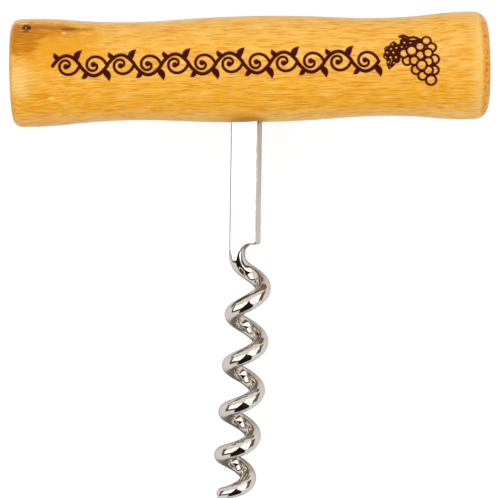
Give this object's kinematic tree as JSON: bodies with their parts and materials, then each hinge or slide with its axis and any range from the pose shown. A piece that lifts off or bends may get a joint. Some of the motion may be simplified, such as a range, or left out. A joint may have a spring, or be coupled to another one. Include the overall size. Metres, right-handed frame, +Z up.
{
  "type": "wooden corkscrew",
  "caption": "T-shaped corkscrew with a turned wooden handle and a one-piece steel shank and helical worm.",
  "frame": {"origin": "centre of the bounding box in plan, on the surface that the corkscrew lies on", "axes": "+Z up from the table, +X along the handle to its more rounded end, -Y from the handle to the worm's tip"},
  "size_m": [0.11, 0.1126, 0.025],
  "materials": {
    "lacquered_wood": "clear lacquer, satin",
    "plated_steel": "nickel plated, polished"
  },
  "bodies": {
    "root": {"handle": "lacquered_wood", "worm": "plated_steel"}
  },
  "joints": []
}
